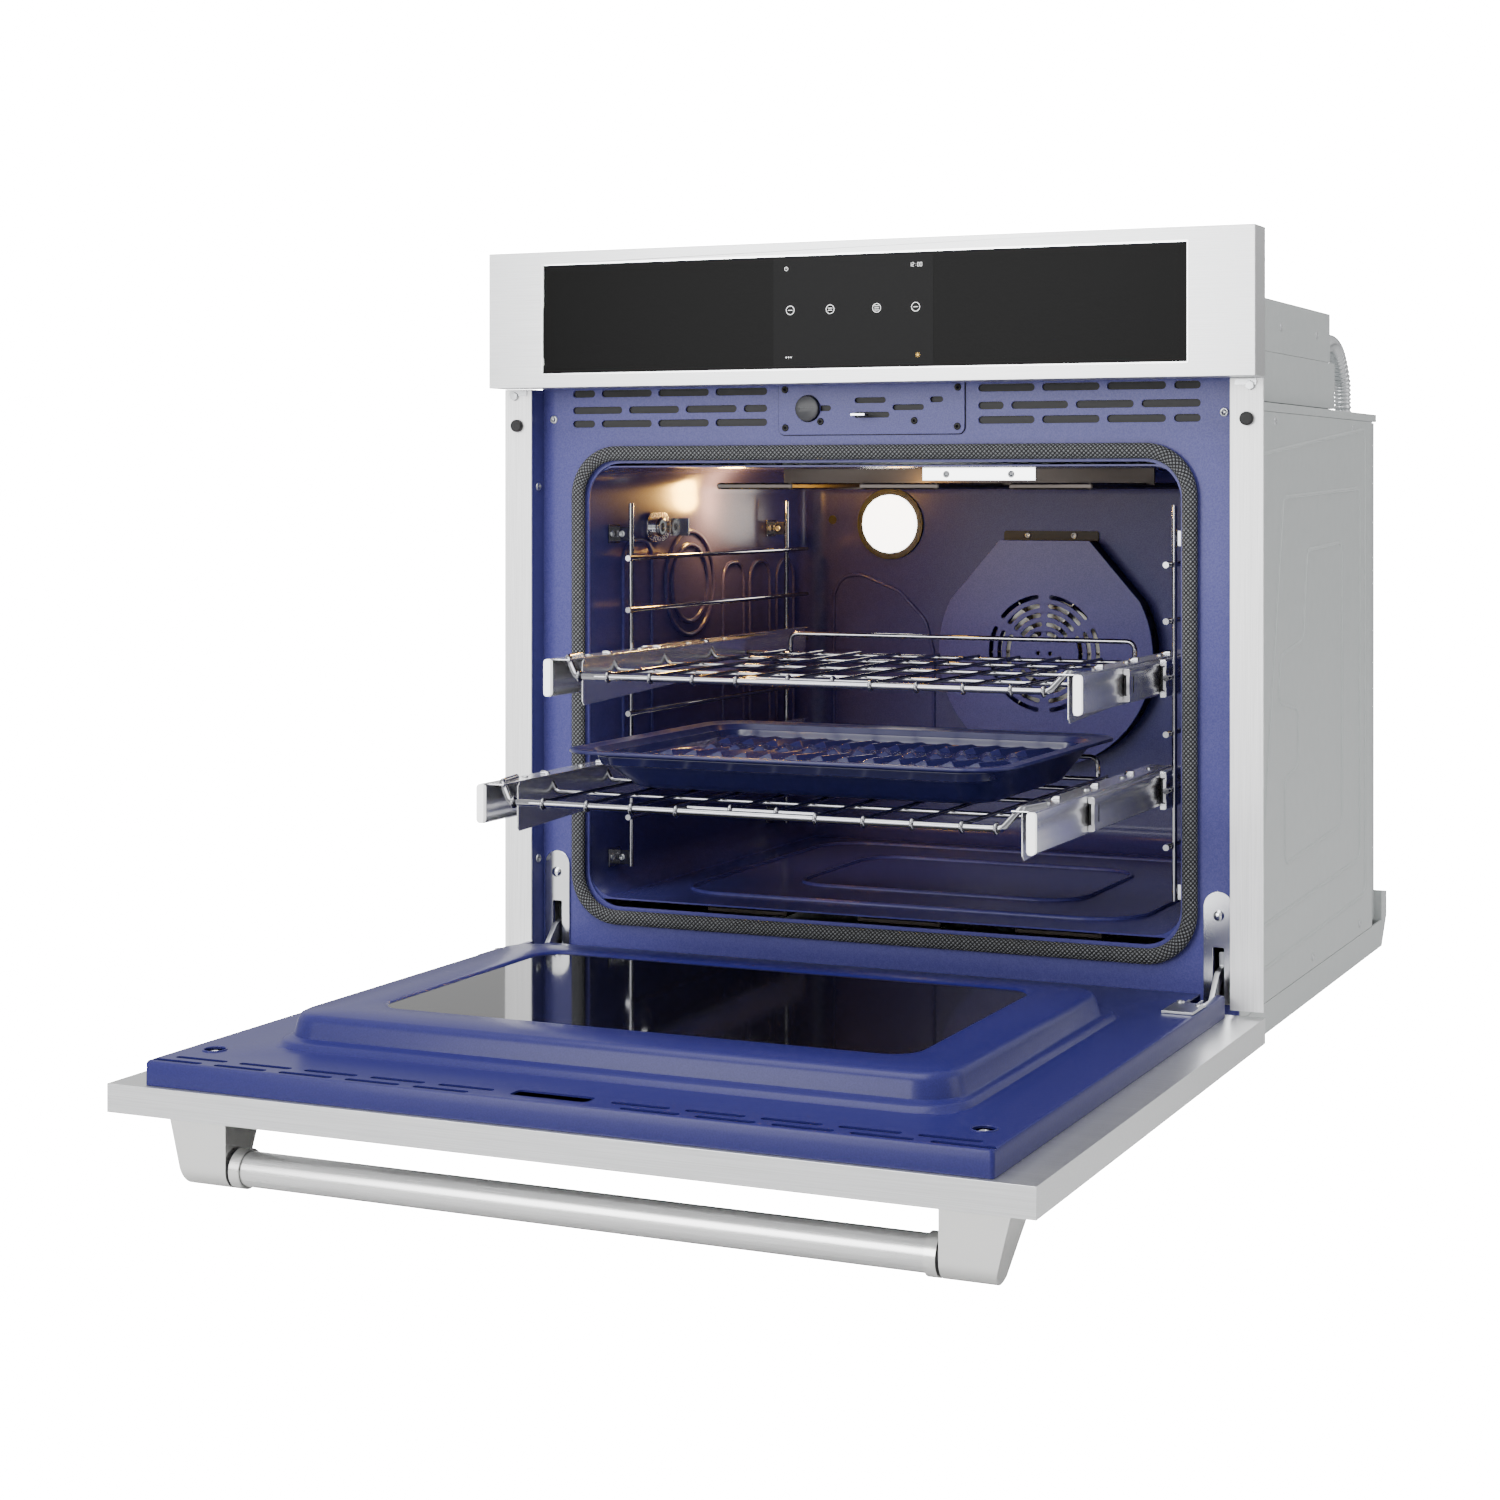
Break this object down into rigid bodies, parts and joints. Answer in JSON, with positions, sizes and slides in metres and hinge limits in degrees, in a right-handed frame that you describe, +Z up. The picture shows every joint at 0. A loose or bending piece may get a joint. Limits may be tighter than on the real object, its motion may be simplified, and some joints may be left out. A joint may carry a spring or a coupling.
{
  "type": "wall oven",
  "caption": "Built-in electric wall oven with a drop-down door, touch control fascia, blue enamelled cavity, convection fan and glide racks.",
  "frame": {"origin": "middle of the underside of the base pan, where the oven stands on its cabinet shelf", "axes": "+Z up, +Y from the front to the rear wall of the cabinet, +X to the right seen from the front; stored with the door open and both racks drawn out"},
  "size_m": [0.756, 1.1982, 0.764],
  "materials": {
    "brushed_steel": "stainless steel, brushed along the width",
    "polished_steel": "satin to polished stainless steel",
    "chromed_wire": "bright chromed wire",
    "slide_steel": "rolled bright steel",
    "galvanised_steel": "pale grey galvanised sheet, satin",
    "blue_enamel": "royal-blue porcelain enamel, glossy, faint orange peel",
    "black_glass": "black tempered glass, polished",
    "dark_glass": "dark tempered oven-door glass",
    "woven_gasket": "braided glass-fibre rope, grey and black",
    "black_plastic": "moulded black nylon",
    "heater_sheath": "dark oxidised steel sheath",
    "circuit_board": "green circuit board",
    "lamp_glass": "glowing lamp lens"
  },
  "bodies": {
    "oven": {"base_pan": "galvanised_steel", "side_panel_left": "galvanised_steel", "side_panel_right": "galvanised_steel", "back_cover": "galvanised_steel", "top_cover": "galvanised_steel", "control_housing_upper": "galvanised_steel", "control_housing_lower": "galvanised_steel", "fascia": "brushed_steel", "control_glass": "black_glass", "control_board": "circuit_board", "trim_strip_left": "brushed_steel", "trim_strip_right": "brushed_steel", "front_frame": "blue_enamel", "gasket": "woven_gasket", "cavity_roof": "blue_enamel", "cavity_floor": "blue_enamel", "cavity_side_left": "blue_enamel", "cavity_side_right": "blue_enamel", "cavity_back": "blue_enamel", "lamp_lens": "lamp_glass", "fan_cover": "blue_enamel", "convection_element": "heater_sheath", "fan_motor": "galvanised_steel", "broil_element": "heater_sheath", "bake_element": "heater_sheath", "rack_ladder_left": "chromed_wire", "rack_ladder_right": "chromed_wire", "lock_plate": "blue_enamel", "probe_socket": "polished_steel", "hinge_receiver_left": "polished_steel", "hinge_receiver_right": "polished_steel", "hinge_arm_left": "polished_steel", "hinge_arm_right": "polished_steel", "conduit": "galvanised_steel", "rail_fixed_upper_left": "slide_steel", "rail_fixed_upper_right": "slide_steel", "rail_fixed_lower_left": "slide_steel", "rail_fixed_lower_right": "slide_steel"},
    "door": {"door_skin": "brushed_steel", "door_outer_glass": "black_glass", "door_inner_panel": "blue_enamel", "door_inner_glass": "dark_glass", "handle_bar": "polished_steel", "handle_post_left": "polished_steel", "handle_post_right": "polished_steel", "hinge_body_left": "polished_steel", "hinge_body_right": "polished_steel"},
    "upper_mid": {"rail_mid_upper_left": "slide_steel", "rail_mid_upper_right": "slide_steel"},
    "upper_rack": {"rack_upper": "chromed_wire"},
    "lower_mid": {"rail_mid_lower_left": "slide_steel", "rail_mid_lower_right": "slide_steel"},
    "lower_rack": {"rack_lower": "chromed_wire", "broiler_pan": "blue_enamel", "pan_grid": "blue_enamel"},
    "fan": {"fan_blade": "galvanised_steel"},
    "blower": {"blower_wheel": "galvanised_steel"},
    "latch": {"lock_latch": "polished_steel"},
    "door_switch": {"door_switch_button": "black_plastic"},
    "probe_flap": {"probe_cover": "polished_steel"}
  },
  "joints": [
    {"name": "door_hinge", "type": "hinge", "parent": "oven", "child": "door", "pos_m": [0, -0.329, 0.026], "axis": [-1, 0, 0], "range_deg": [0, 90]},
    {"name": "upper_mid_slide", "type": "slide", "parent": "oven", "child": "upper_mid", "axis": [0, 1, 0], "range_m": [0, 0.083]},
    {"name": "upper_rack_slide", "type": "slide", "parent": "upper_mid", "child": "upper_rack", "axis": [0, 1, 0], "range_m": [0, 0.107]},
    {"name": "lower_mid_slide", "type": "slide", "parent": "oven", "child": "lower_mid", "axis": [0, 1, 0], "range_m": [0, 0.179]},
    {"name": "lower_rack_slide", "type": "slide", "parent": "lower_mid", "child": "lower_rack", "axis": [0, 1, 0], "range_m": [0, 0.124]},
    {"name": "fan_spin", "type": "hinge", "parent": "oven", "child": "fan", "pos_m": [0, 0.212, 0.3115], "axis": [0, 1, 0], "continuous": true},
    {"name": "blower_spin", "type": "hinge", "parent": "oven", "child": "blower", "pos_m": [0, 0, 0.59], "axis": [0, 0, 1], "continuous": true},
    {"name": "latch_slide", "type": "slide", "parent": "oven", "child": "latch", "axis": [1, 0, 0], "range_m": [0, 0.016]},
    {"name": "door_switch_press", "type": "slide", "parent": "oven", "child": "door_switch", "axis": [0, 1, 0], "range_m": [0, 0.0025], "stiffness_N_per_m": 300},
    {"name": "probe_flap_hinge", "type": "hinge", "parent": "oven", "child": "probe_flap", "pos_m": [-0.2843, -0.143, 0.453], "axis": [0, 0, -1], "range_deg": [0, 90]}
  ],
  "couplings": [
    {"joint": "upper_mid_slide", "follows": "door_hinge", "m_per_rad": 0.052839},
    {"joint": "upper_rack_slide", "follows": "door_hinge", "m_per_rad": 0.068118},
    {"joint": "lower_mid_slide", "follows": "door_hinge", "m_per_rad": 0.11395},
    {"joint": "lower_rack_slide", "follows": "door_hinge", "m_per_rad": 0.07894}
  ]
}
